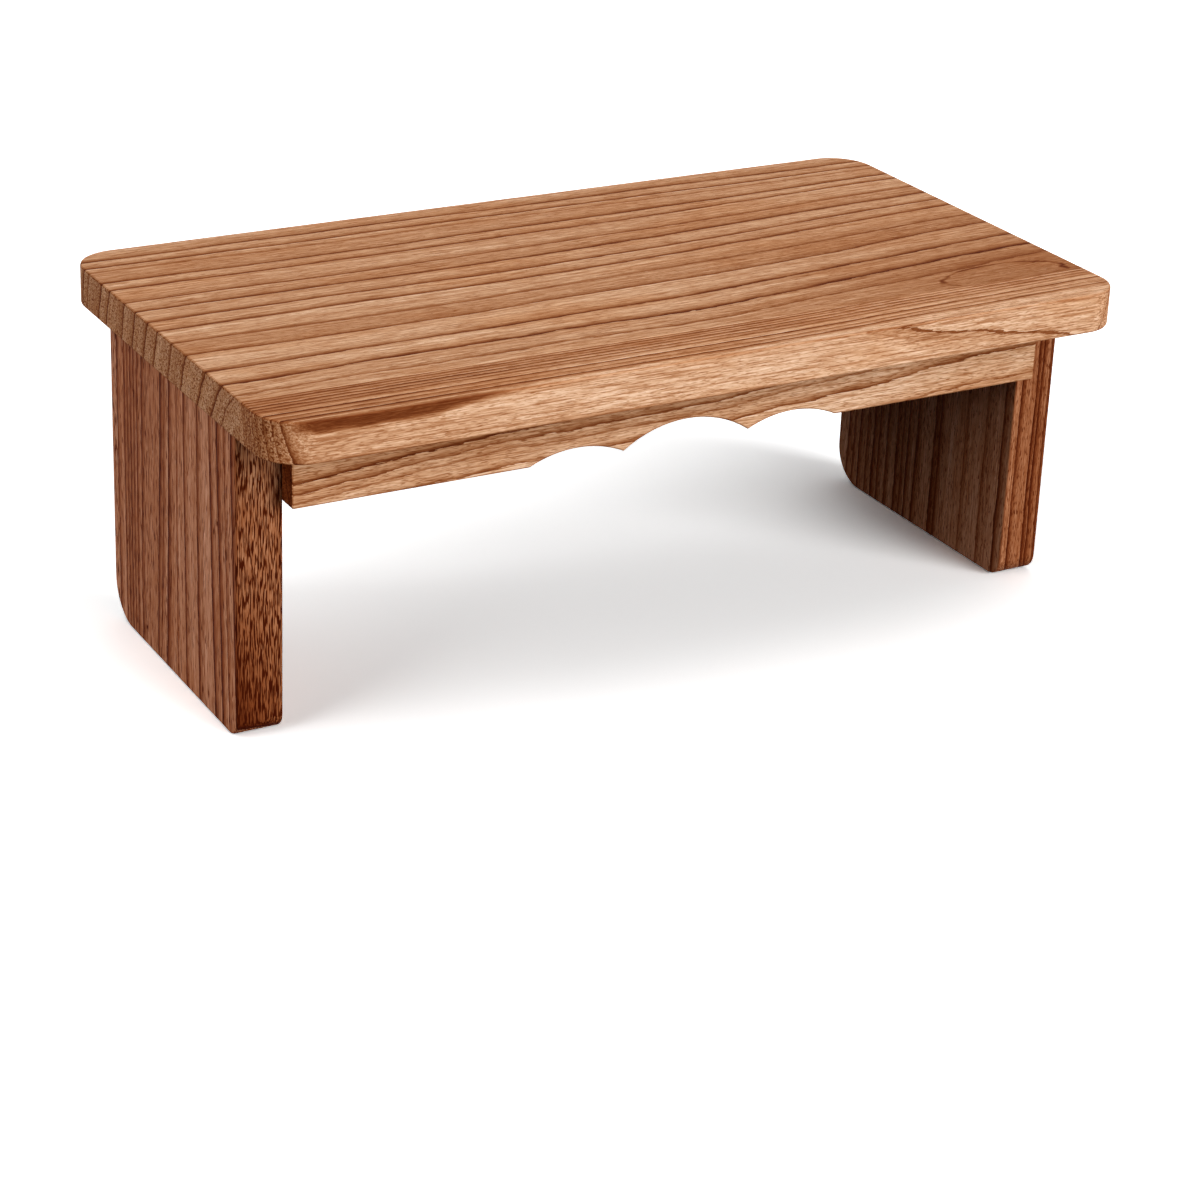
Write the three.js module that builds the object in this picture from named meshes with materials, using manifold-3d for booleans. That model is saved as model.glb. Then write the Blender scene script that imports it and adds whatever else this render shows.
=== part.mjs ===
import * as THREE from 'three';
import { mergeVertices } from 'three/addons/utils/BufferGeometryUtils.js';
import Module from 'manifold-3d';

// Folding meditation bench, in millimetres, +Z up.
// X runs along the seat, Y runs from the front edge to the back edge, and the
// origin lies on the floor under the middle of the seat.
// Both legs fold inwards under the seat. Both aprons fold outwards, flat under
// the seat's overhang. Every fold turns on two butt hinges let into notches.

// Seat, glued up from a wide main board and a narrow front board
const seatLength = 440;
const seatDepth = 240;
const seatThickness = 19;
const seatTopHeight = 165;
const seatCornerRadius = 21;
const frontBoardWidth = 34;
const edgeEase = 0.8;

// Legs, one plain board each
const legThickness = 22;
const legEndInset = 3;
const legBackFootRadius = 20;
const legFrontFootRadius = 9;

// Aprons, with three scallops along the lower edge
const apronSetback = 35;
const apronThickness = 11;
const apronHeight = 35;
const apronCornerRadius = 1.5;
const wideScallopWidth = 66;
const wideScallopDepth = 10.5;
const sideScallopWidth = 48;
const sideScallopDepth = 5.5;
const apronLegOverlap = 1;

// Butt hinges, all alike
const hingeLength = 45;
const leafWidth = 8;
const leafThickness = 1;
const knuckleRadius = 2;
const knuckleCount = 5;
const pinRadius = 0.9;
const pinAxisDepth = 2.4;
const pinAxisInset = 2.1;
const apronHingeEndInset = 32;
const legHingePlaceShare = 0.48;

// Countersunk screws, two to a leaf
const screwLength = 11;
const screwTipLength = 3;
const screwShankRadius = 1.1;
const screwHeadRadius = 2;
const screwTipRadius = 0.3;
const screwEdgeInset = 2.6;
const screwEndInset = 9;

// Clearances
const legApronSideClearance = 0.5;
const notchEndClearance = 0.4;
const knuckleGap = 0.3;
const pinClearance = 0.2;
const leafKnuckleClearance = 0.35;
const screwClearance = 0.15;
const cutOverrun = 2;

// Facet counts
const cornerSegments = 10;
const scallopSegments = 8;
const hingeSegments = 10;
const screwSegments = 8;
const easeSegments = 2;
const pivotRoundSegments = 5;

// Heights and places that follow from the sizes above
const seatUnderside = seatTopHeight - seatThickness;
const pinAxisHeight = seatUnderside - pinAxisDepth;
const seatFrontEdge = -seatDepth / 2;
const boardJoint = seatFrontEdge + frontBoardWidth;
const legOuterFace = seatLength / 2 - legEndInset;
const legInnerFace = legOuterFace - legThickness;
const apronOuterFace = seatDepth / 2 - apronSetback;
const apronInnerFace = apronOuterFace - apronThickness;
const apronHalfLength = legInnerFace + apronLegOverlap;
const legHalfWidth = apronInnerFace - legApronSideClearance;
const legPinAxis = legInnerFace + pinAxisInset;
const apronPinAxis = apronOuterFace - pinAxisInset;
const notchDepth = 2 * pinAxisDepth;
const notchLength = hingeLength + 2 * notchEndClearance;
const screwAcross = leafWidth - screwEdgeInset;
const apronHingePlace = apronHalfLength - apronHingeEndInset - hingeLength / 2;
const legHingePlace = legHalfWidth * legHingePlaceShare;

const wood = {
  seat: { color: 0xa9764c, roughness: 0.55, metalness: 0 },
  leg: { color: 0x8a5634, roughness: 0.55, metalness: 0 },
  apron: { color: 0xb98457, roughness: 0.55, metalness: 0 },
};
const blackSteel = { color: 0x16150f, roughness: 0.45, metalness: 0.6 };

const wasm = await Module();
wasm.setup();

// Turns a closed three.js geometry into a solid that can be cut and joined
function solidFrom(geometry) {
  const bare = geometry.clone();
  bare.deleteAttribute('normal');
  bare.deleteAttribute('uv');
  const merged = mergeVertices(bare);
  const corners = Array.from(merged.index.array);
  const kept = corners.filter((_, place) => {
    const [a, b, c] = corners.slice(place - (place % 3));
    return a !== b && b !== c && c !== a;
  });
  const mesh = new wasm.Mesh({
    numProp: 3,
    vertProperties: new Float32Array(merged.attributes.position.array),
    triVerts: new Uint32Array(kept),
  });
  return new wasm.Manifold(mesh);
}

// Turns a finished solid back into a three.js geometry
function geometryFrom(solid) {
  const mesh = solid.getMesh();
  const geometry = new THREE.BufferGeometry();
  geometry.setAttribute('position', new THREE.BufferAttribute(mesh.vertProperties, 3));
  geometry.setIndex(new THREE.BufferAttribute(mesh.triVerts, 1));
  geometry.computeVertexNormals();
  return geometry;
}

function block(low, high) {
  const size = high.map((value, axis) => value - low[axis]);
  const geometry = new THREE.BoxGeometry(size[0], size[1], size[2]);
  geometry.translate(...low.map((value, axis) => value + size[axis] / 2));
  return solidFrom(geometry);
}

// A cylinder along X from one place to another
function rodAlongX(radius, from, to, segments) {
  const geometry = new THREE.CylinderGeometry(radius, radius, to - from, segments);
  geometry.rotateZ(Math.PI / 2);
  geometry.translate((from + to) / 2, 0, 0);
  return solidFrom(geometry);
}

// Extrudes a shape and eases its two rims without changing its size
function easedExtrusion(shape, thickness, ease, curveSegments) {
  return new THREE.ExtrudeGeometry(shape, {
    depth: thickness - 2 * ease,
    bevelEnabled: ease > 0,
    bevelThickness: ease,
    bevelSize: ease,
    bevelOffset: -ease,
    bevelSegments: easeSegments,
    curveSegments,
  }).translate(0, 0, ease);
}

// Lays a shape drawn in X and Z across Y, between two faces
function acrossDepth(shape, from, to, ease, curveSegments) {
  const geometry = easedExtrusion(shape, to - from, ease, curveSegments);
  geometry.rotateX(Math.PI / 2);
  geometry.translate(0, to, 0);
  return solidFrom(geometry);
}

// Lays a shape drawn in Y and Z along X, between two faces
function alongLength(shape, from, to, ease, curveSegments) {
  const geometry = easedExtrusion(shape, to - from, ease, curveSegments);
  geometry.rotateX(Math.PI / 2);
  geometry.rotateZ(Math.PI / 2);
  geometry.translate(from, 0, 0);
  return solidFrom(geometry);
}

// The hole that a screw needs, standing on the face that the screw enters
function screwHole(x, y, face, direction) {
  const radius = screwShankRadius + screwClearance;
  const depth = screwLength + screwClearance;
  const geometry = new THREE.CylinderGeometry(radius, radius, depth + cutOverrun, screwSegments);
  geometry.rotateX(Math.PI / 2);
  geometry.translate(x, y, face + direction * (depth - cutOverrun) / 2);
  return solidFrom(geometry);
}

const screwSpots = [-1, 1].map((end) => end * (hingeLength / 2 - screwEndInset));

// Hinge places: the middle of the pin, and the turn that lays the leaves
const hingeSites = {
  front_apron: [-1, 1].map((side) => ({
    side: side < 0 ? 'left' : 'right',
    x: side * apronHingePlace,
    y: -apronPinAxis,
    turn: 0,
  })),
  rear_apron: [-1, 1].map((side) => ({
    side: side < 0 ? 'left' : 'right',
    x: side * apronHingePlace,
    y: apronPinAxis,
    turn: Math.PI,
  })),
  left_leg: [-1, 1].map((side) => ({
    side: side < 0 ? 'front' : 'rear',
    x: -legPinAxis,
    y: side * legHingePlace,
    turn: Math.PI / 2,
  })),
  right_leg: [-1, 1].map((side) => ({
    side: side < 0 ? 'front' : 'rear',
    x: legPinAxis,
    y: side * legHingePlace,
    turn: -Math.PI / 2,
  })),
};

// Where the screws of one hinge stand, seen from above
function screwPlaces(site) {
  return screwSpots.map((along) => ({
    x: site.x + along * Math.cos(site.turn) - screwAcross * Math.sin(site.turn),
    y: site.y + along * Math.sin(site.turn) + screwAcross * Math.cos(site.turn),
  }));
}

function cutScrewHoles(board, sites, face, direction) {
  return sites.flatMap(screwPlaces).reduce(
    (rest, place) => rest.subtract(screwHole(place.x, place.y, face, direction)),
    board,
  );
}

function roundedRectangle(halfLength, halfDepth, radius) {
  const shape = new THREE.Shape();
  shape.absarc(halfLength - radius, halfDepth - radius, radius, 0, Math.PI / 2);
  shape.absarc(radius - halfLength, halfDepth - radius, radius, Math.PI / 2, Math.PI);
  shape.absarc(radius - halfLength, radius - halfDepth, radius, Math.PI, 1.5 * Math.PI);
  shape.absarc(halfLength - radius, radius - halfDepth, radius, 1.5 * Math.PI, 2 * Math.PI);
  shape.closePath();
  return shape;
}

// Both seat boards are cut from one eased slab, so their faces lie flush
function seatBoards() {
  const outline = roundedRectangle(seatLength / 2, seatDepth / 2, seatCornerRadius);
  const geometry = easedExtrusion(outline, seatThickness, edgeEase, cornerSegments);
  geometry.translate(0, 0, seatUnderside);
  const slab = solidFrom(geometry);
  const side = seatLength / 2 + cutOverrun;
  const back = seatDepth / 2 + cutOverrun;
  const low = seatUnderside - cutOverrun;
  const high = seatTopHeight + cutOverrun;
  const front = slab.intersect(block([-side, -back, low], [side, boardJoint, high]));
  const main = slab.intersect(block([-side, boardJoint, low], [side, back, high]));
  const allSites = Object.values(hingeSites).flat();
  return { front, main: cutScrewHoles(main, allSites, seatUnderside, 1) };
}

// The edge that swings past the seat is rounded about the pin.
// The section is drawn with the face at the pin's side pointing to outward.
function swingSection(outward, facePlace, thickness, height) {
  const pinPlace = facePlace - outward * pinAxisInset;
  const farFace = facePlace - outward * thickness;
  const shape = new THREE.Shape();
  shape.moveTo(farFace, seatUnderside - height);
  shape.lineTo(farFace, seatUnderside);
  shape.lineTo(pinPlace, seatUnderside);
  for (let step = 1; step <= pivotRoundSegments; step += 1) {
    const angle = (step / pivotRoundSegments) * (Math.PI / 2);
    const across = outward * pinAxisInset * Math.sin(angle);
    shape.lineTo(pinPlace + across, pinAxisHeight + pinAxisDepth * Math.cos(angle));
  }
  shape.lineTo(facePlace, seatUnderside - height);
  shape.closePath();
  return shape;
}

// Adds one scallop to a lower edge that is drawn from left to right
function addScallop(shape, from, to, depth, edge) {
  const halfWidth = (to - from) / 2;
  const radius = (halfWidth ** 2 + depth ** 2) / (2 * depth);
  const halfAngle = Math.asin(halfWidth / radius);
  const middle = (from + to) / 2;
  const start = Math.PI / 2 + halfAngle;
  const end = Math.PI / 2 - halfAngle;
  shape.absarc(middle, edge + depth - radius, radius, start, end, true);
}

function apronOutline() {
  const edge = seatUnderside - apronHeight;
  const corner = apronCornerRadius;
  const wideHalf = wideScallopWidth / 2;
  const sideEnd = wideHalf + sideScallopWidth;
  const end = apronHalfLength;
  const shape = new THREE.Shape();
  shape.moveTo(-end, seatUnderside);
  shape.lineTo(-end, edge + corner);
  shape.absarc(corner - end, edge + corner, corner, Math.PI, 1.5 * Math.PI);
  addScallop(shape, -sideEnd, -wideHalf, sideScallopDepth, edge);
  addScallop(shape, -wideHalf, wideHalf, wideScallopDepth, edge);
  addScallop(shape, wideHalf, sideEnd, sideScallopDepth, edge);
  shape.absarc(end - corner, edge + corner, corner, 1.5 * Math.PI, 2 * Math.PI);
  shape.lineTo(end, seatUnderside);
  shape.closePath();
  return shape;
}

// The notch runs right through the apron's thickness, as deep as a folded hinge
function apronBoard(facing, sites) {
  const outer = facing * apronOuterFace;
  const inner = facing * apronInnerFace;
  const near = Math.min(outer, inner);
  const far = Math.max(outer, inner);
  const face = acrossDepth(apronOutline(), near, far, edgeEase, scallopSegments);
  const section = swingSection(facing, outer, apronThickness, apronHeight);
  const reach = apronHalfLength + cutOverrun;
  const profile = alongLength(section, -reach, reach, 0, 1);
  let board = face.intersect(profile);
  const floor = seatUnderside - notchDepth;
  const half = notchLength / 2;
  for (const site of sites) {
    const low = [site.x - half, near - cutOverrun, floor];
    const high = [site.x + half, far + cutOverrun, seatUnderside + cutOverrun];
    board = board.subtract(block(low, high));
  }
  return cutScrewHoles(board, sites, floor, -1);
}

function legOutline() {
  const front = -legHalfWidth;
  const back = legHalfWidth;
  const small = legFrontFootRadius;
  const large = legBackFootRadius;
  const shape = new THREE.Shape();
  shape.moveTo(front, seatUnderside);
  shape.lineTo(front, small);
  shape.absarc(front + small, small, small, Math.PI, 1.5 * Math.PI);
  shape.absarc(back - large, large, large, 1.5 * Math.PI, 2 * Math.PI);
  shape.lineTo(back, seatUnderside);
  shape.closePath();
  return shape;
}

// The notch opens on the inner face only, so the outer face stays whole
function legBoard(end, sites) {
  const outer = end * legOuterFace;
  const inner = end * legInnerFace;
  const near = Math.min(outer, inner);
  const far = Math.max(outer, inner);
  const face = alongLength(legOutline(), near, far, edgeEase, cornerSegments);
  const section = swingSection(-end, inner, legThickness, seatUnderside);
  const reach = legHalfWidth + cutOverrun;
  const profile = acrossDepth(section, -reach, reach, 0, 1);
  let board = face.intersect(profile);
  const floor = seatUnderside - notchDepth;
  const half = notchLength / 2;
  const notchBack = end * (legPinAxis + leafWidth + leafKnuckleClearance);
  const notchMouth = inner - end * cutOverrun;
  for (const site of sites) {
    const low = [Math.min(notchBack, notchMouth), site.y - half, floor];
    const high = [Math.max(notchBack, notchMouth), site.y + half, seatUnderside + cutOverrun];
    board = board.subtract(block(low, high));
  }
  return cutScrewHoles(board, sites, floor, -1);
}

// A leaf lies across Y from the pin, above it (level 1) or below it (level -1)
function leafPlate(level) {
  const outerFace = level * pinAxisDepth;
  const innerFace = level * (pinAxisDepth - leafThickness);
  const low = Math.min(outerFace, innerFace);
  const high = Math.max(outerFace, innerFace);
  const half = hingeLength / 2;
  let plate = block([-half, 0, low], [half, leafWidth, high]);
  for (const along of screwSpots) {
    plate = plate.subtract(countersink(along, level));
  }
  return plate;
}

// The flared hole for a screw head, wide on the face that the other leaf meets
function countersink(along, level) {
  const wide = screwHeadRadius + screwClearance;
  const narrow = screwShankRadius + screwClearance;
  const tall = leafThickness;
  const profile = [
    new THREE.Vector2(0, -cutOverrun),
    new THREE.Vector2(wide, -cutOverrun),
    new THREE.Vector2(wide, 0),
    new THREE.Vector2(narrow, tall - screwClearance),
    new THREE.Vector2(narrow, tall + cutOverrun),
    new THREE.Vector2(0, tall + cutOverrun),
  ];
  const geometry = new THREE.LatheGeometry(profile, screwSegments);
  geometry.rotateX(level * Math.PI / 2);
  geometry.translate(along, screwAcross, level * (pinAxisDepth - leafThickness));
  return solidFrom(geometry);
}

// Even-numbered knuckles belong to the seat leaf, odd-numbered ones to the other
function knuckleSpans() {
  const pitch = (hingeLength + knuckleGap) / knuckleCount;
  return Array.from({ length: knuckleCount }, (_, index) => {
    const from = index * pitch - hingeLength / 2;
    return { from, to: from + pitch - knuckleGap, onSeat: index % 2 === 0 };
  });
}

function hingeLeaf(level, onSeat) {
  let leaf = leafPlate(level);
  const spans = knuckleSpans();
  const reach = knuckleRadius + leafKnuckleClearance;
  for (const span of spans.filter((item) => item.onSeat !== onSeat)) {
    const low = [span.from - knuckleGap, -cutOverrun, -reach - cutOverrun];
    const high = [span.to + knuckleGap, reach, reach + cutOverrun];
    leaf = leaf.subtract(block(low, high));
  }
  for (const span of spans.filter((item) => item.onSeat === onSeat)) {
    leaf = leaf.add(rodAlongX(knuckleRadius, span.from, span.to, hingeSegments));
  }
  return leaf;
}

// The pin is pressed into the seat leaf's knuckles and stays with them
function seatLeaf() {
  const half = hingeLength / 2;
  return hingeLeaf(1, true).add(rodAlongX(pinRadius, -half, half, hingeSegments));
}

function swingLeaf() {
  const half = hingeLength / 2 + cutOverrun;
  const bore = rodAlongX(pinRadius + pinClearance, -half, half, hingeSegments);
  return hingeLeaf(-1, false).subtract(bore);
}

// The screw stands head down at level 1, so that its tip points into the seat
function screwGeometry(level) {
  const body = screwLength - screwTipLength;
  const profile = [
    new THREE.Vector2(0, 0),
    new THREE.Vector2(screwHeadRadius, 0),
    new THREE.Vector2(screwShankRadius, leafThickness - screwClearance),
    new THREE.Vector2(screwShankRadius, leafThickness + body),
    new THREE.Vector2(screwTipRadius, leafThickness + screwLength - screwClearance),
    new THREE.Vector2(0, leafThickness + screwLength - screwClearance),
  ];
  const geometry = new THREE.LatheGeometry(profile, screwSegments);
  geometry.rotateX(level * Math.PI / 2);
  return geometryFrom(solidFrom(geometry));
}

function named(name, geometry, finish) {
  const mesh = new THREE.Mesh(geometry, new THREE.MeshStandardMaterial(finish));
  mesh.name = name;
  return mesh;
}

const seatLeafGeometry = geometryFrom(seatLeaf());
const swingLeafGeometry = geometryFrom(swingLeaf());
const seatScrewGeometry = screwGeometry(1);
const swingScrewGeometry = screwGeometry(-1);

// One hinge: two leaves and four screws, in a group turned to its place
function hinge(carrier, site) {
  const group = new THREE.Group();
  const label = `${carrier}_${site.side}_hinge`;
  group.add(named(`${label}_seat_leaf`, seatLeafGeometry, blackSteel));
  group.add(named(`${label}_swing_leaf`, swingLeafGeometry, blackSteel));
  screwSpots.forEach((along, index) => {
    for (const level of [1, -1]) {
      const part = level > 0 ? 'seat' : 'swing';
      const geometry = level > 0 ? seatScrewGeometry : swingScrewGeometry;
      const screw = named(`${label}_${part}_screw_${index + 1}`, geometry, blackSteel);
      screw.position.set(along, screwAcross, level * (pinAxisDepth - leafThickness));
      group.add(screw);
    }
  });
  group.position.set(site.x, site.y, pinAxisHeight);
  group.rotation.z = site.turn;
  return group;
}

const bench = new THREE.Group();
const boards = seatBoards();
bench.add(named('seat_main_board', geometryFrom(boards.main), wood.seat));
bench.add(named('seat_front_board', geometryFrom(boards.front), wood.seat));
bench.add(named('front_apron', geometryFrom(apronBoard(-1, hingeSites.front_apron)), wood.apron));
bench.add(named('rear_apron', geometryFrom(apronBoard(1, hingeSites.rear_apron)), wood.apron));
bench.add(named('left_leg', geometryFrom(legBoard(-1, hingeSites.left_leg)), wood.leg));
bench.add(named('right_leg', geometryFrom(legBoard(1, hingeSites.right_leg)), wood.leg));
for (const [carrier, sites] of Object.entries(hingeSites)) {
  for (const site of sites) {
    bench.add(hinge(carrier, site));
  }
}

export default bench;
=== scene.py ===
from math import pi, radians
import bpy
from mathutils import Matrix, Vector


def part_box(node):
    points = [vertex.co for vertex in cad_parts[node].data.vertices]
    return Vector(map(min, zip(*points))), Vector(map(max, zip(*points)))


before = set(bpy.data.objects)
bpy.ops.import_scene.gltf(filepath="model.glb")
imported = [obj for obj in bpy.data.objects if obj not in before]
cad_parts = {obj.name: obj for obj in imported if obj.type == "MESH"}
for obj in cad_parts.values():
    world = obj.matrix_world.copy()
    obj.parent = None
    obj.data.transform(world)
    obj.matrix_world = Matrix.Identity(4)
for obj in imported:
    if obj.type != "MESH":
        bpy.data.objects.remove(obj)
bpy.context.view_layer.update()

from types import SimpleNamespace

import bpy
from mathutils import Matrix, Vector

# Folding meditation bench, in metres, +Z up, standing on the floor at Z = 0.
# The seat's grain runs along X, and so does the aprons'. The legs' grain is upright.

# Camera
CAMERA_PLACE = (-0.678, -1.173, 0.625)
CAMERA_YAW = radians(30.16)
CAMERA_PITCH = radians(21.92)
CAMERA_ROLL = radians(-2.35)
CAMERA_LENS = 90.87
CAMERA_SHIFT_Y = -0.1333
CAMERA_NEAR = 0.05
CAMERA_FAR = 60.0

# Floor and light
FLOOR_SIZE = 12.0
FLOOR_DROP = 0.0002
# How much light the floor throws back onto the bench, and how light it looks itself
FLOOR_COLOR = 0.05
FLOOR_SHOWN_COLOR = 1.75
WORLD_AMBIENT = 0.032
# The side that each lamp stands on, seen from the bench, its share of full light and its width
LAMPS = {
    "back_light": ((0.0, 0.35, 1.0), 0.42, radians(80)),
    "front_light": ((0.42, -1.0, 0.36), 1.0, radians(40)),
    "left_light": ((-1.0, -0.12, 0.50), 0.50, radians(45)),
}

# How fast red, green and blue light fade as the wood gets darker
FADING = (1.0, 1.62, 2.23)
# For each board the colour of its pale wood, and how dark its middle wood, dark wood and ring lines are
SEAT_TONES = ((250, 216, 187), 0.32, 0.98, 2.25)
# The front board's paler tones are partly its own pale earlywood and partly painted light, for its brightly
# lit front face
FRONT_TONES = ((255, 218, 187), 0.16, 0.68, 2.3)
APRON_TONES = ((255, 219, 188), 0.15, 0.74, 2.3)
LEFT_LEG_TONES = ((243, 190, 165), 0.32, 1.05, 2.9)
RIGHT_LEG_TONES = ((243, 192, 166), 0.30, 0.95, 2.3)
# The warm coat over some patches, and its share there
WARM_TONE = (255, 243, 226)
WARM_SHARE = 0.6
# How rough the wood is, and how much rougher where it is frayed and where pores are open
WOOD_ROUGHNESS = 0.54
FRAY_ROUGHNESS = 0.16
PORE_ROUGHNESS = 0.15
WOOD_SPECULAR = 0.02
# How much of the relief shows, its depth, and the heights in it of frays, pores and lines
WOOD_RELIEF = (0.5, 0.00015)
FRAY_HEIGHT = 0.6
PORE_HEIGHT = -1.0
LINE_HEIGHT = -0.5

# Kinds of noise in the wood: length along the grain, width, detail and roughness
GRAINS = {
    "bends": (0.11, 0.035, 2.0, 0.4),
    "frays": (0.012, 0.0006, 2.0, 0.6),
    "fibres": (0.007, 0.00035, 2.0, 0.6),
    "ripples": (0.024, 0.007, 3.0, 0.6),
    "line_breaks": (0.045, 0.010, 3.0, 0.6),
    "eye_breaks": (0.030, 0.008, 1.0, 0.5),
    "patches": (0.080, 0.020, 3.0, 0.6),
    "end_dots": (0.0035, 0.0010, 2.0, 0.4),
}
# Streaks that follow the rings: how many to a metre along and through the rings, detail and roughness
BROAD_STREAKS = (3.0, 240.0, 2.0, 0.6)
FINE_STREAKS = (7.0, 900.0, 3.0, 0.7)
# The noise values between which each mark goes from none to full
SPREADS = {
    "broad_streaks": (0.34, 0.62),
    "fine_streaks": (0.42, 0.70),
    "band_streaks": (0.35, 0.65),
    "flecks": (0.48, 0.64),
    "patches": (0.48, 0.70),
    "pores": (0.65, 0.73),
    "end_dots": (0.62, 0.72),
    "dark_fibres": (0.50, 0.70),
    "frays": (0.45, 0.72),
}
PALE_FIBRES = ((0.30, 1.0), (0.48, 0.0))
# How much of streaks, fibres and frays shows
STREAK_SHARE = 0.55
DARK_FIBRE_SHARE = 0.55
PALE_FIBRE_SHARE = 0.45
FRAY_SHARE = 0.30
# How strong the dark bands are between their streaks, and how much stronger in them
BAND_BASE = 0.65
BAND_GAIN = 0.5
# Detail and roughness of the flecks' noise, and how dark they are against dark wood
FLECK_NOISE = (3.0, 0.6)
FLECK_DARKNESS = 1.25
PORE_DETAIL = 1.0
# How far frays and ripples move a ring, and how far frays move the height of a flame
FRAY_REACH = 0.0009
RIPPLE_REACH = 0.0016
FLAME_FRAY_REACH = 0.004
# How far a surface faces a board's end or edge where that grain begins to show, and where it is full
END_TURN = (0.25, 0.80)
EDGE_TURN = (0.6, 0.95)

# A ring's dark line: how strong it is at depths past the ring's start
LINE_PROFILE = ((0.0, 1.0), (0.0008, 1.0), (0.0015, 0.56), (0.0028, 0.24), (0.0046, 0.09), (0.008, 0.0))
# How strong the line stays at values of the noise that breaks it
LINE_BREAKS = ((0.28, 0.55), (0.56, 1.0))
# How much narrower the lines are in end grain, and how much of the bands is lost there
END_NARROWING = 1.2
END_BAND_LOSS = 0.6
# A small eye: how far out its outline lies, how rippled and how wide it is, and what breaks leave of it
EYE_RADIUS = 1.25
EYE_RIPPLE = 0.5
EYE_PROFILE = ((0.0, 1.0), (0.0009, 0.0), (0.002, 0.0))
EYE_BREAKS = ((0.40, 0.1), (0.55, 0.8))
# A flame: how deep it goes behind the front face, how its fibres vary it and how strong its line is
FLAME_ACROSS = ((-0.1200, 1.0), (-0.1165, 0.0))
FLAME_FIBRES = ((0.35, 1.0), (0.65, 0.6))
FLAME_LINE = 0.80
# Open pores: how many more there are at depths past the ring's start, in dark bands and in end grain
PORE_PROFILE = ((0.0, 0.10), (0.003, 0.05), (0.008, 0.02), (0.014, 0.0))
BAND_PORES = 0.12
END_PORES = 0.11
# The round dots of end grain: how much they gather where pores do, and how dark they are
DOT_GATHERING = 0.6
DOT_DARKNESS = 0.65
# A darker band along the eased edges: how strong it is as the surface turns from edge to face
RIM_PROFILE = ((0.20, 0.0), (0.40, 1.0), (0.90, 1.0), (0.98, 0.0))
# How much darker patches, the edge bands and browned wood are, and how far back the browning goes
PATCH_DARKNESS = 0.08
RIM_DARKNESS = 0.30
BROWNING_DARKNESS = 0.32
BROWNING_ACROSS = ((-0.06, 1.0), (0.05, 0.0))

# Steel: how many specks to a metre its grit and its rubbed spots have
GRIT_SCALE = (900.0,) * 3
RUB_SCALE = (160.0,) * 3
# How much likelier rubbing is where the surface turns, and how it goes over into bare metal
RUBBED_TURN = ((0.70, 0.18), (0.98, 0.0))
RUBBED_SPREAD = (0.50, 0.78)
STEEL_ROUGHNESS = 0.25
RUB_ROUGHNESS = 0.35
STEEL_METALLIC = 0.6
STEEL_RELIEF = (0.25, 0.00005)

# How a board looks where its own list says nothing else
PLAIN_LOOK = {
    # How far the rings drift at places across the board, and how much of it at places along it
    "drift": None,
    # How far the rings bend, how frayed their lines are, and how rippled at places across
    "sway": 0.004,
    "ragged": 1.0,
    "ripples": None,
    # How wide the lines are, and how strong the rings are at places along the board
    "line_share": 1.0,
    "fade": None,
    # Middle and reach, along and across, of a small eye in the face
    "eye": None,
    # Height at places along the board, half height, and strength along it, of a dark flame
    "flame": None,
    # Length, width and darkness of the pores, and how many more are open in the edges
    "pores": (0.0045, 0.00040, 0.28),
    "edge_pores": 0.0,
    # Length, width and share of the flecks
    "flecks": (0.020, 0.0010, 0.5),
    # How strong the lines are in end grain, and how much darker it is: the oil it drinks, and on the aprons
    # painted shade as well
    "end_lines": 1.45,
    "end_oil": 0.04,
    # A tone that lies over the edges, and how browned the wood is at places along the board
    "edge_tone": None,
    "browning": None,
}

SEAT_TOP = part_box("seat_main_board")[1][2]


def srgb(red, green, blue):
    """A colour written as 0 to 255, as the linear colour that shaders take."""
    linear = []
    for value in (red, green, blue):
        share = value / 255
        if share <= 0.04045:
            linear.append(share / 12.92)
        else:
            linear.append(((share + 0.055) / 1.055) ** 2.4)
    return (*linear, 1.0)


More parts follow.
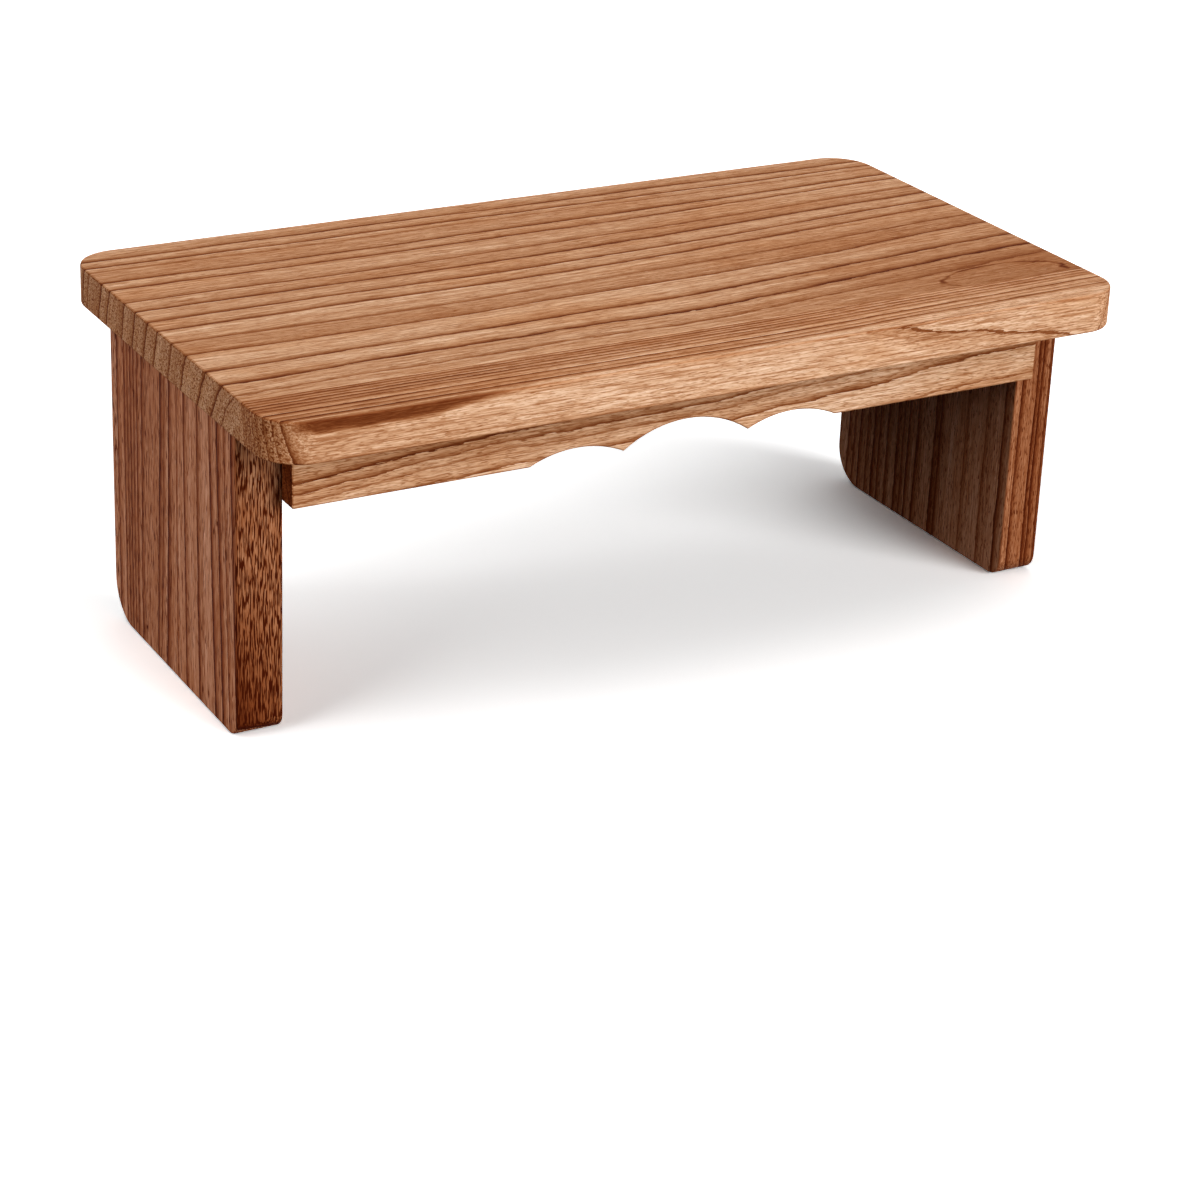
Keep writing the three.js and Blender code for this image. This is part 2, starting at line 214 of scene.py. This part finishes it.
class Graph:
    """Short calls for adding the nodes of one tree."""

    def __init__(self, tree):
        self.tree = tree
        tree.nodes.clear()

    def node(self, kind, **settings):
        made = self.tree.nodes.new(kind)
        for name, value in settings.items():
            setattr(made, name, value)
        return made

    def feed(self, socket, value):
        if isinstance(value, bpy.types.NodeSocket):
            self.tree.links.new(value, socket)
        else:
            socket.default_value = value

    def math(self, operation, *values, clamp=False):
        made = self.node("ShaderNodeMath", operation=operation, use_clamp=clamp)
        for socket, value in zip(made.inputs, values):
            self.feed(socket, value)
        return made.outputs[0]

    def vector(self, operation, *values, out=0):
        made = self.node("ShaderNodeVectorMath", operation=operation)
        for socket, value in zip(made.inputs, values):
            self.feed(socket, value)
        return made.outputs[out]

    def combine(self, x, y, z):
        made = self.node("ShaderNodeCombineXYZ")
        for socket, value in zip(made.inputs, (x, y, z)):
            self.feed(socket, value)
        return made.outputs[0]

    def parts(self, vector):
        made = self.node("ShaderNodeSeparateXYZ")
        self.feed(made.inputs[0], vector)
        return made.outputs

    def noise(self, place, detail=2.0, roughness=0.5, out="Fac"):
        made = self.node("ShaderNodeTexNoise")
        made.inputs["Scale"].default_value = 1.0
        made.inputs["Detail"].default_value = detail
        made.inputs["Roughness"].default_value = roughness
        self.feed(made.inputs["Vector"], place)
        return made.outputs[out]

    def curve(self, value, *stops, smooth=False):
        """The height of a curve through (place, height) stops at the given value."""
        first, last = stops[0][0], stops[-1][0]
        low = min(height for _, height in stops)
        high = max(height for _, height in stops)
        made = self.node("ShaderNodeValToRGB")
        ramp = made.color_ramp
        ramp.interpolation = "CARDINAL" if smooth else "LINEAR"
        while len(ramp.elements) < len(stops):
            ramp.elements.new(1.0)
        for element, (place, height) in zip(ramp.elements, stops):
            element.position = (place - first) / (last - first)
            level = (height - low) / (high - low)
            element.color = (level, level, level, 1.0)
        span = last - first
        self.feed(made.inputs[0], self.math("MULTIPLY_ADD", value, 1 / span, -first / span))
        return self.math("MULTIPLY_ADD", made.outputs[0], high - low, low)

    def rise(self, value, low, high):
        """0 up to low, then rising to 1 at high."""
        return self.curve(value, (low, 0.0), (high, 1.0))

    def shift(self, value, noise, width):
        """The value moved by the noise, by up to half the width to either side."""
        return self.math("MULTIPLY_ADD", noise, width, self.math("ADD", value, -width / 2))

    def mix(self, share, low, high):
        """A colour at a share of the way from low to high."""
        made = self.node("ShaderNodeMix", data_type="RGBA")
        for socket, value in zip((made.inputs[0], made.inputs[6], made.inputs[7]), (share, low, high)):
            self.feed(socket, value)
        return made.outputs[2]

    def blend(self, share, low, high):
        """A number at a share of the way from low to high."""
        made = self.node("ShaderNodeMix", data_type="FLOAT")
        for socket, value in zip((made.inputs[0], made.inputs[2], made.inputs[3]), (share, low, high)):
            self.feed(socket, value)
        return made.outputs[0]

    def coat(self, color, share, tone):
        """A colour with a share of it seen through a coat of another tone."""
        return self.mix(share, color, self.vector("MULTIPLY", color, srgb(*tone)[:3]))

    def surface(self, color, roughness, relief, relief_strength, relief_depth):
        """The finished surface, with its relief. Returns the shader."""
        shader = self.node("ShaderNodeBsdfPrincipled")
        self.feed(shader.inputs["Base Color"], color)
        self.feed(shader.inputs["Roughness"], roughness)
        bump = self.node("ShaderNodeBump")
        bump.inputs["Strength"].default_value = relief_strength
        bump.inputs["Distance"].default_value = relief_depth
        self.feed(bump.inputs["Height"], relief)
        self.feed(shader.inputs["Normal"], bump.outputs[0])
        self.feed(self.node("ShaderNodeOutputMaterial").inputs["Surface"], shader.outputs[0])
        return shader


def new_material(name):
    material = bpy.data.materials.new(name)
    material.use_nodes = True
    return material, Graph(material.node_tree)


def around(pith_across, pith_through):
    """Rings round a pith line near the board."""

    def distance(g, along, across, through):
        offset = g.vector("SUBTRACT", g.combine(0.0, across, through), (0.0, pith_across, pith_through))
        return g.vector("LENGTH", offset, out=1)

    return distance


def slanting(across_share, through_share, start=0.0, course=None):
    """Rings that cross the board as almost flat sheets, since the pith is far away.

    course gives (place along the board, height) stops that the sheets follow.
    """

    def distance(g, along, across, through):
        height = g.math("MULTIPLY_ADD", through, through_share, -start * through_share)
        if course:
            follow = g.curve(along, *course, smooth=True)
            height = g.math("MULTIPLY_ADD", follow, -through_share, height)
        return g.math("MULTIPLY_ADD", across, across_share, height)

    return distance


def growth(g, distance, rings):
    """How deep a point lies in its ring, and that ring's line strength and shade."""
    depth_start = strength = shade = 0.0
    before = (0.0, 0.0, 0.0)
    for ring in rings:
        past = g.math("GREATER_THAN", distance, ring[0])
        depth_start = g.math("MULTIPLY_ADD", past, ring[0] - before[0], depth_start)
        strength = g.math("MULTIPLY_ADD", past, ring[1] - before[1], strength)
        shade = g.math("MULTIPLY_ADD", past, ring[2] - before[2], shade)
        before = ring
    return g.math("SUBTRACT", distance, depth_start), strength, shade


class Board:
    """What the nodes of one board know about a point: its directions, faces, grain and rings."""

    def __init__(self, g, upright, seed, look):
        self.g = g
        self.seed = seed
        self.look = look
        x, y, z = g.parts(g.node("ShaderNodeTexCoord").outputs["Object"])
        self.along, self.across, self.through = (z, y, x) if upright else (x, y, z)
        self.place = g.combine(self.along, self.across, self.through)
        end_axis, edge_axis, face_axis = (2, 1, 0) if upright else (0, 1, 2)
        normal = g.parts(g.node("ShaderNodeTexCoord").outputs["Normal"])
        self.end_grain = g.rise(g.math("ABSOLUTE", normal[end_axis]), *END_TURN)
        self.edge_grain = g.rise(g.math("ABSOLUTE", normal[edge_axis]), *EDGE_TURN)
        self.rim = g.curve(g.math("ABSOLUTE", normal[face_axis]), *RIM_PROFILE)
        self.frays = self.grain("frays")
        self.fibres = self.grain("fibres")
        self.ripples = g.math("SUBTRACT", self.grain("ripples"), 0.5)
        self.patches = g.rise(self.grain("patches"), *SPREADS["patches"])

    def noise(self, length, width, detail, roughness=0.5, out="Fac"):
        """Noise whose grains lie along the wood."""
        scale = (1 / length, 1 / width, 1 / width)
        laid = self.g.vector("MULTIPLY_ADD", self.place, scale, (self.seed, self.seed, 0.0))
        return self.g.noise(laid, detail, roughness, out)

    def grain(self, kind, out="Fac"):
        return self.noise(*GRAINS[kind], out=out)

    def streaks(self, count_along, count_through, detail, roughness):
        """Noise in streaks that follow the rings."""
        lengthwise = self.g.math("MULTIPLY", self.along, count_along)
        crosswise = self.g.math("MULTIPLY_ADD", self.reach, count_through, self.seed)
        return self.g.noise(self.g.combine(lengthwise, crosswise, 0.0), detail, roughness)

    def lay_rings(self, distance, rings):
        """Finds which ring each point lies in, with a slow drift, gentle bends and frayed lines."""
        g, look = self.g, self.look
        course = self.across
        if look.drift:
            progress = g.curve(self.along, *look.drift["progress"], smooth=True)
            amount = g.curve(self.across, *look.drift["amount"])
            course = g.math("SUBTRACT", self.across, g.math("MULTIPLY", amount, progress))
        bend = g.parts(self.grain("bends", "Color"))
        course = g.shift(course, bend[0], look.sway)
        height = g.shift(self.through, bend[1], look.sway)
        ripples = self.ripples
        if look.ripples:
            ripples = g.math("MULTIPLY", ripples, g.curve(self.across, *look.ripples))
        reach = g.shift(distance(g, self.along, course, height), self.frays, FRAY_REACH * look.ragged)
        self.reach = g.math("MULTIPLY_ADD", ripples, RIPPLE_REACH * look.ragged, reach)
        self.depth, self.strength, self.shade = growth(g, self.reach, rings)

    def eye_outline(self):
        """The thin dark outline of a small eye in the face."""
        g = self.g
        middle, reach = self.look.eye
        squares = []
        for value, centre, width in zip((self.along, self.across), middle, reach):
            offset = g.math("MULTIPLY_ADD", value, 1 / width, -centre / width)
            squares.append(g.math("MULTIPLY", offset, offset))
        radius = g.math("SQRT", g.math("ADD", *squares))
        radius = g.math("MULTIPLY_ADD", self.ripples, EYE_RIPPLE, radius)
        gap = g.math("ABSOLUTE", g.math("MULTIPLY_ADD", radius, reach[1], -EYE_RADIUS * reach[1]))
        outline = g.curve(gap, *EYE_PROFILE)
        return g.math("MULTIPLY", outline, g.curve(self.grain("eye_breaks"), *EYE_BREAKS))

    def dark_flame(self):
        """A dark flame in the front face, where a ring runs almost level with the face."""
        g = self.g
        course, half, strength = self.look.flame
        height = g.math("SUBTRACT", self.through, g.curve(self.along, *course, smooth=True))
        height = g.math("MULTIPLY_ADD", g.math("SUBTRACT", self.frays, 0.5), FLAME_FRAY_REACH, height)
        profile = ((0.0, 1.0), (half * 0.5, 1.0), (half * 1.5, 0.0), (half * 2.0, 0.0))
        flame = g.curve(g.math("ABSOLUTE", height), *profile)
        flame = g.math("MULTIPLY", flame, g.curve(self.across, *FLAME_ACROSS))
        flame = g.math("MULTIPLY", flame, g.curve(self.along, *strength))
        return g.math("MULTIPLY", flame, g.curve(self.fibres, *FLAME_FIBRES))

    def ring_marks(self):
        """How strong the rings' dark lines and their bands of dark wood are."""
        g, look = self.g, self.look
        # End grain shows the lines narrower, without breaks, and the bands paler
        narrowing = g.math("MULTIPLY_ADD", self.end_grain, END_NARROWING, 1 / look.line_share)
        lines = g.curve(g.math("MULTIPLY", self.depth, narrowing), *LINE_PROFILE)
        breaks = g.curve(self.grain("line_breaks"), *LINE_BREAKS)
        breaks = g.math("MAXIMUM", breaks, self.end_grain)
        boost = g.math("MULTIPLY_ADD", self.end_grain, look.end_lines - 1.0, 1.0)
        strength = g.math("MULTIPLY", self.strength, boost)
        lines = g.math("MULTIPLY", g.math("MULTIPLY", lines, breaks), strength, clamp=True)
        bands_kept = g.math("MULTIPLY_ADD", self.end_grain, -END_BAND_LOSS, 1.0)
        bands = g.math("MULTIPLY", g.math("MAXIMUM", self.shade, 0.0), bands_kept)
        if look.fade:
            kept = g.curve(self.along, *look.fade)
            lines = g.math("MULTIPLY", lines, kept)
            bands = g.math("MULTIPLY", bands, kept)
        if look.eye:
            lines = g.math("MAXIMUM", lines, self.eye_outline())
        if look.flame:
            flame = self.dark_flame()
            bands = g.math("MAXIMUM", bands, flame)
            lines = g.math("MAXIMUM", lines, g.math("MULTIPLY", flame, FLAME_LINE))
        return lines, bands

    def open_pores(self, bands):
        """How strong the open pores are, and the round dots that end grain shows of them."""
        g, look = self.g, self.look
        length, width, _ = look.pores
        openness = g.curve(self.depth, *PORE_PROFILE)
        openness = g.math("MULTIPLY_ADD", bands, BAND_PORES, openness)
        openness = g.math("MULTIPLY_ADD", self.end_grain, END_PORES, openness)
        if look.edge_pores:
            openness = g.math("MULTIPLY_ADD", self.edge_grain, look.edge_pores, openness)
        pores = g.math("ADD", self.noise(length, width, PORE_DETAIL), openness)
        dots = g.math("ADD", self.grain("end_dots"), g.math("MULTIPLY", openness, DOT_GATHERING))
        dots_here = g.math("MULTIPLY", self.end_grain, DOT_DARKNESS)
        dots = g.math("MULTIPLY", g.rise(dots, *SPREADS["end_dots"]), dots_here)
        return g.rise(pores, *SPREADS["pores"]), dots

    def darkness(self, middle, dark, line, lines, bands, pores, dots):
        """How dark the wood is, from 0 where it is pale."""
        g, look = self.g, self.look
        broad = self.streaks(*BROAD_STREAKS)
        fine = self.streaks(*FINE_STREAKS)
        fleck_length, fleck_width, fleck_share = look.flecks
        flecks = g.rise(self.noise(fleck_length, fleck_width, *FLECK_NOISE), *SPREADS["flecks"])
        streaked = g.math("MULTIPLY_ADD", g.rise(fine, *SPREADS["band_streaks"]), BAND_GAIN, BAND_BASE)
        open_wood = g.math("MAXIMUM", g.math("MULTIPLY", pores, look.pores[2]), dots)
        # Where each layer lies, its share there and how dark it is
        layers = (
            (g.rise(fine, *SPREADS["fine_streaks"]), STREAK_SHARE, dark),
            (bands, streaked, dark),
            (g.math("MINIMUM", self.shade, 0.0), -1.0, 0.0),
            (flecks, fleck_share, FLECK_DARKNESS * dark),
            (g.rise(self.fibres, *SPREADS["dark_fibres"]), DARK_FIBRE_SHARE, dark),
            (g.curve(self.fibres, *PALE_FIBRES), PALE_FIBRE_SHARE, 0.0),
            (g.rise(self.frays, *SPREADS["frays"]), FRAY_SHARE, dark),
            (lines, 1.0, line),
            (open_wood, 1.0, line),
        )
        density = g.math("MULTIPLY", g.rise(broad, *SPREADS["broad_streaks"]), middle)
        for place, share, target in layers:
            density = g.blend(g.math("MULTIPLY", place, share), density, target)
        # Patches, the darker edge bands, the oil that end grain drinks (on the aprons also painted shade) and
        # browning darken all of that
        stains = [
            (self.patches, PATCH_DARKNESS),
            (self.rim, RIM_DARKNESS),
            (self.end_grain, look.end_oil),
        ]
        if look.browning:
            browned = g.curve(self.along, *look.browning)
            browned = g.math("MULTIPLY", browned, g.curve(self.across, *BROWNING_ACROSS))
            stains.append((browned, BROWNING_DARKNESS))
        for place, amount in stains:
            density = g.math("MULTIPLY_ADD", place, amount, density)
        return density

    def color(self, pale, density):
        """What is left of the pale wood's colour where the wood is that dark."""
        g = self.g
        channels = []
        for amount, fading in zip(srgb(*pale), FADING):
            left = g.math("EXPONENT", g.math("MULTIPLY", density, -fading))
            channels.append(g.math("MULTIPLY", left, amount))
        color = g.coat(g.combine(*channels), g.math("MULTIPLY", self.patches, WARM_SHARE), WARM_TONE)
        if self.look.edge_tone:
            color = g.coat(color, self.edge_grain, self.look.edge_tone)
        return color


def wood(name, upright, distance, rings, tones, seed, **own_look):
    """Oiled wood with growth rings that run through the board in three dimensions.

    rings lists where each ring starts, how strong its dark line is, and how dark its wood
    is, or how pale where that is below 0. own_look has what differs from PLAIN_LOOK.
    """
    material, g = new_material(name)
    board = Board(g, upright, seed, SimpleNamespace(**{**PLAIN_LOOK, **own_look}))
    board.lay_rings(distance, rings)
    lines, bands = board.ring_marks()
    pores, dots = board.open_pores(bands)
    pale, middle, dark, line = tones
    density = board.darkness(middle, dark, line, lines, bands, pores, dots)
    roughness = g.math("MULTIPLY_ADD", board.frays, FRAY_ROUGHNESS, WOOD_ROUGHNESS)
    roughness = g.math("MULTIPLY_ADD", pores, PORE_ROUGHNESS, roughness)
    relief = g.math("MULTIPLY", board.frays, FRAY_HEIGHT)
    relief = g.math("MULTIPLY_ADD", pores, PORE_HEIGHT, relief)
    relief = g.math("MULTIPLY_ADD", lines, LINE_HEIGHT, relief)
    shader = g.surface(board.color(pale, density), roughness, relief, *WOOD_RELIEF)
    shader.inputs["Specular IOR Level"].default_value = WOOD_SPECULAR
    return material


def steel(name, finish, rubbed, rub_share):
    """Black finished steel, rubbed to bare metal in spots, more so on its edges and rims."""
    material, g = new_material(name)
    place = g.node("ShaderNodeTexCoord").outputs["Object"]
    grit = g.noise(g.vector("MULTIPLY", place, GRIT_SCALE), detail=3.0)
    rub = g.noise(g.vector("MULTIPLY", place, RUB_SCALE), detail=4.0, roughness=0.7)
    normal = g.parts(g.node("ShaderNodeTexCoord").outputs["Normal"])
    facing_x, facing_y, facing_z = (g.math("ABSOLUTE", part) for part in normal)
    flatness = g.math("MAXIMUM", g.math("MAXIMUM", facing_x, facing_y), facing_z)
    worn = g.math("ADD", g.curve(flatness, *RUBBED_TURN), rub)
    none, full = RUBBED_SPREAD
    color = g.mix(g.curve(worn, (none, 0.0), (full, rub_share)), srgb(*finish), srgb(*rubbed))
    roughness = g.math("MULTIPLY_ADD", rub, RUB_ROUGHNESS, STEEL_ROUGHNESS)
    shader = g.surface(color, roughness, grit, *STEEL_RELIEF)
    shader.inputs["Metallic"].default_value = STEEL_METALLIC
    return material


def dress(name, material):
    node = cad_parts[name]
    node.data.materials.clear()
    node.data.materials.append(material)


def rings_on_top(pith, *rings):
    """Rings given by where they reach the seat's top, as distances from the pith."""
    rise = SEAT_TOP - pith[1]
    measured = []
    for place, strength, shade in rings:
        distance = ((place - pith[0]) ** 2 + rise ** 2) ** 0.5
        measured.append((distance, strength, shade))
    return measured


def dress_main_board():
    pith = (-0.125, 0.1155)
    rings = [(0.050, 0.5, 0.15)] + rings_on_top(
        pith,
        (-0.0800, 0.40, 0.05),
        (-0.0663, 1.00, -0.10),
        (-0.0491, 0.95, -0.20),
        (-0.0280, 0.60, 0.35),
        (-0.0120, 0.55, 0.05),
        (0.0057, 0.85, 0.05),
        (0.0180, 0.80, 0.10),
        (0.0320, 1.00, 0.30),
        (0.0451, 0.65, 0.15),
        (0.0643, 0.85, 0.10),
        (0.0743, 1.00, 0.30),
        (0.0900, 0.35, 0.10),
        (0.0965, 0.85, 0.15),
        (0.1063, 0.95, 0.20),
    )
    look = {
        "drift": {
            "progress": ((-0.22, 0.0), (-0.05, 0.05), (0.08, 0.35), (0.22, 1.0)),
            "amount": ((-0.12, 0.024), (-0.03, 0.022), (0.05, 0.014), (0.10, 0.0)),
        },
        "eye": ((0.179, -0.0785), (0.028, 0.0116)),
        "sway": 0.006,
        "ripples": ((-0.12, 2.4), (-0.05, 2.0), (0.0, 1.0), (0.12, 0.8)),
        "line_share": 0.82,
        "browning": ((0.02, 0.0), (0.16, 1.0)),
    }
    material = wood("seat_main_wood", False, around(*pith), rings, SEAT_TONES, 3.1, **look)
    dress("seat_main_board", material)


def dress_front_board():
    course = ((-0.22, 0.010), (-0.06, 0.010), (0.04, 0.008), (0.09, -0.003), (0.185, -0.0185), (0.22, -0.024))
    # The rings from 0.1140 out lie in the front face. Their pale shade, against the darker top strip before
    # them, is partly the wood's own and partly painted light that makes the face paler than the top, as a
    # brightly lit face
    rings = [
        (0.0850, 0.50, 0.05),
        (0.0872, 0.80, 0.09),
        (0.0898, 0.60, 0.06),
        (0.0924, 0.90, 0.09),
        (0.0955, 0.80, 0.08),
        (0.0985, 0.60, 0.06),
        (0.1033, 1.00, 0.11),
        (0.1075, 0.50, 0.10),
        (0.1110, 1.00, 0.15),
        (0.1140, 0.00, -0.35),
        (0.1184, 0.00, 0.12),
        (0.1192, 0.00, 0.26),
        (0.1198, 0.00, 0.45),
        (0.1202, 0.60, 0.75),
        (0.1205, 0.00, -0.40),
    ]
    flame_heights = (
        (-0.22, -0.0012),
        (-0.205, -0.0014),
        (-0.18, -0.0024),
        (-0.155, -0.0023),
        (-0.14, -0.0010),
        (-0.12, 0.0012),
        (-0.08, 0.0040),
    )
    flame_course = [(place, SEAT_TOP + height) for place, height in flame_heights]
    flame_strength = ((-0.22, 1.0), (-0.14, 0.95), (-0.11, 0.5), (-0.08, 0.0))
    look = {
        "sway": 0.001,
        "ragged": 0.75,
        "line_share": 0.6,
        "fade": ((-0.22, 1.0), (-0.12, 0.95), (-0.02, 0.80), (0.22, 0.75)),
        "pores": (0.004, 0.0004, 0.20),
        "flecks": (0.024, 0.0008, 0.9),
        "flame": (flame_course, 0.0029, flame_strength),
        "end_lines": 0.45,
        "end_oil": 0.05,
        "browning": ((-0.20, 0.45), (-0.08, 0.0)),
    }
    sheets = slanting(-1.0, 0.22, SEAT_TOP, course)
    dress("seat_front_board", wood("seat_front_wood", False, sheets, rings, FRONT_TONES, 7.7, **look))


def dress_aprons():
    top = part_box("front_apron")[1][2]
    rings = [
        (0.0680, 0.7, 0.10),
        (0.0730, 0.4, -0.50),
        (0.0785, 0.6, 0.10),
        (0.0815, 0.3, 0.05),
        (0.0832, 0.6, 0.05),
        (0.0850, 0.9, 0.25),
        (0.0910, 0.8, 0.10),
        (0.0970, 0.8, 0.10),
    ]
    front_course = (
        (-0.195, -0.0245),
        (-0.146, -0.0198),
        (-0.105, -0.0165),
        (-0.050, -0.0155),
        (0.020, -0.0135),
        (0.048, -0.0105),
        (0.073, -0.0090),
        (0.110, -0.0068),
        (0.135, -0.0036),
        (0.195, -0.0010),
    )
    rear_course = ((-0.195, -0.004), (-0.08, -0.018), (0.04, -0.004), (0.195, -0.026))
    look = {
        "sway": 0.001,
        "ragged": 0.9,
        "line_share": 0.25,
        "flecks": (0.022, 0.0008, 0.8),
        # Painted shade: the aprons' end faces are darkened far past what oil does, standing for the deep
        # shade in the gap beside the legs
        "end_oil": 1.3,
    }
    boards = (("front_apron", -1.0, front_course, 11.3), ("rear_apron", 1.0, rear_course, 15.9))
    for name, side, course, seed in boards:
        sheets = slanting(side, 0.40, top, course)
        dress(name, wood(name + "_wood", False, sheets, rings, APRON_TONES, seed, **look))


def dress_left_leg():
    rings = [
        (-0.0660, 0.7, 0.1),
        (-0.0570, 0.6, 0.1),
        (-0.0530, 0.5, 0.15),
        (-0.0490, 0.6, 0.1),
        (-0.0450, 0.5, 0.15),
        (-0.0410, 0.6, 0.1),
        (-0.0350, 0.7, 0.45),
        (-0.0120, 1.0, 0.1),
        (-0.0075, 0.4, -0.4),
        (-0.0025, 0.9, 0.1),
        (0.0065, 0.3, 0.0),
        (0.0150, 0.7, 0.1),
        (0.0300, 0.7, 0.1),
        (0.0440, 0.9, 0.05),
        (0.0520, 1.0, 0.1),
        (0.0600, 0.3, 0.1),
        (0.0675, 1.0, 0.35),
    ]
    drift_amount = (
        (-0.074, -0.005),
        (-0.050, -0.005),
        (-0.030, 0.0),
        (-0.015, 0.0),
        (0.002, 0.004),
        (0.015, 0.008),
        (0.035, 0.004),
        (0.074, 0.0),
    )
    look = {
        "drift": {"progress": ((0.0, 1.0), (0.146, 0.0)), "amount": drift_amount},
        "sway": 0.0015,
        "ragged": 0.7,
        "line_share": 0.9,
        "pores": (0.0075, 0.0006, 0.9),
        "edge_pores": 0.09,
        "edge_tone": (246, 254, 248),
    }
    sheets = slanting(-1.0, 0.10, -0.217)
    dress("left_leg", wood("left_leg_wood", True, sheets, rings, LEFT_LEG_TONES, 21.4, **look))


def dress_right_leg():
    rings = [
        (-0.0420, 0.8, 0.1),
        (-0.0356, 0.9, 0.2),
        (-0.0326, 0.7, 0.1),
        (-0.0296, 0.9, 0.1),
        (-0.0260, 0.6, 0.2),
        (-0.0230, 0.9, 0.3),
        (-0.0202, 0.7, 0.1),
        (-0.0162, 0.9, 0.1),
        (-0.0117, 0.8, 0.2),
        (-0.0090, 0.6, 0.1),
        (-0.0065, 0.9, 0.1),
        (-0.0024, 0.9, 0.2),
        (0.0060, 1.0, 0.8),
        (0.0085, 0.9, 0.2),
        (0.0202, 0.3, 0.1),
        (0.0290, 0.4, 0.2),
        (0.0364, 0.9, 0.1),
        (0.0435, 0.8, 0.1),
        (0.0508, 0.9, 0.2),
        (0.0530, 0.9, 0.1),
        (0.0569, 0.7, 0.1),
    ]
    look = {
        "sway": 0.002,
        "ragged": 0.6,
        "line_share": 0.6,
        "pores": (0.004, 0.0004, 0.6),
        "edge_pores": 0.04,
        "edge_tone": (218, 202, 181),
    }
    sheets = slanting(-0.55, 0.83, 0.195)
    dress("right_leg", wood("right_leg_wood", True, sheets, rings, RIGHT_LEG_TONES, 26.8, **look))


def dress_hinges():
    hinge_steel = steel("hinge_steel", (28, 27, 26), (96, 92, 88), 0.6)
    screw_steel = steel("screw_steel", (40, 39, 38), (132, 128, 122), 0.9)
    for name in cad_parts:
        if "screw" in name:
            dress(name, screw_steel)
        elif "hinge" in name:
            dress(name, hinge_steel)


def add_camera():
    data = bpy.data.cameras.new("camera")
    data.lens = CAMERA_LENS
    data.shift_y = CAMERA_SHIFT_Y
    data.clip_start = CAMERA_NEAR
    data.clip_end = CAMERA_FAR
    camera = bpy.data.objects.new("camera", data)
    turn = Matrix.Rotation(-CAMERA_YAW, 4, "Z") @ Matrix.Rotation(pi / 2 - CAMERA_PITCH, 4, "X")
    turn = turn @ Matrix.Rotation(-CAMERA_ROLL, 4, "Z")
    camera.matrix_world = Matrix.Translation(CAMERA_PLACE) @ turn
    bpy.context.scene.collection.objects.link(camera)
    bpy.context.scene.camera = camera


def seen_directly(g):
    """1 for rays that come straight, mirrored or refracted from the camera."""
    path = g.node("ShaderNodeLightPath")
    total = g.math("ADD", path.outputs["Is Camera Ray"], path.outputs["Is Glossy Ray"])
    return g.math("ADD", total, path.outputs["Is Transmission Ray"], clamp=True)


def either(g, output, unseen, seen):
    """Gives the output one shader for what lights the bench, and another for what the camera sees."""
    choice = g.node("ShaderNodeMixShader")
    g.feed(choice.inputs[0], seen_directly(g))
    g.feed(choice.inputs[1], unseen.outputs[0])
    g.feed(choice.inputs[2], seen.outputs[0])
    g.feed(g.node(output).inputs["Surface"], choice.outputs[0])


def add_floor():
    half = FLOOR_SIZE / 2
    corners = [(-half, -half), (half, -half), (half, half), (-half, half)]
    mesh = bpy.data.meshes.new("floor")
    mesh.from_pydata([(x, y, -FLOOR_DROP) for x, y in corners], [], [(0, 1, 2, 3)])
    floor = bpy.data.objects.new("floor", mesh)
    bpy.context.scene.collection.objects.link(floor)
    material, g = new_material("pale_floor")
    lit = g.node("ShaderNodeBsdfDiffuse")
    lit.inputs["Color"].default_value = (FLOOR_COLOR,) * 3 + (1.0,)
    shown = g.node("ShaderNodeBsdfDiffuse")
    shown.inputs["Color"].default_value = (FLOOR_SHOWN_COLOR,) * 3 + (1.0,)
    either(g, "ShaderNodeOutputMaterial", lit, shown)
    mesh.materials.append(material)


def add_world():
    world = bpy.data.worlds.new("studio")
    world.use_nodes = True
    g = Graph(world.node_tree)
    ambient = g.node("ShaderNodeBackground")
    ambient.inputs["Strength"].default_value = WORLD_AMBIENT
    white = g.node("ShaderNodeBackground")
    white.inputs["Color"].default_value = (1.0, 1.0, 1.0, 1.0)
    white.inputs["Strength"].default_value = 1.0
    either(g, "ShaderNodeOutputWorld", ambient, white)
    bpy.context.scene.world = world


def add_lamp(name, side, share, width):
    data = bpy.data.lights.new(name, "SUN")
    data.energy = pi * share
    data.angle = width
    lamp = bpy.data.objects.new(name, data)
    lamp.matrix_world = Vector(side).to_track_quat("Z", "Y").to_matrix().to_4x4()
    bpy.context.scene.collection.objects.link(lamp)


dress_main_board()
dress_front_board()
dress_aprons()
dress_left_leg()
dress_right_leg()
dress_hinges()
add_camera()
add_floor()
add_world()
for lamp_name, facts in LAMPS.items():
    add_lamp(lamp_name, *facts)
bpy.context.scene.view_settings.view_transform = "Standard"

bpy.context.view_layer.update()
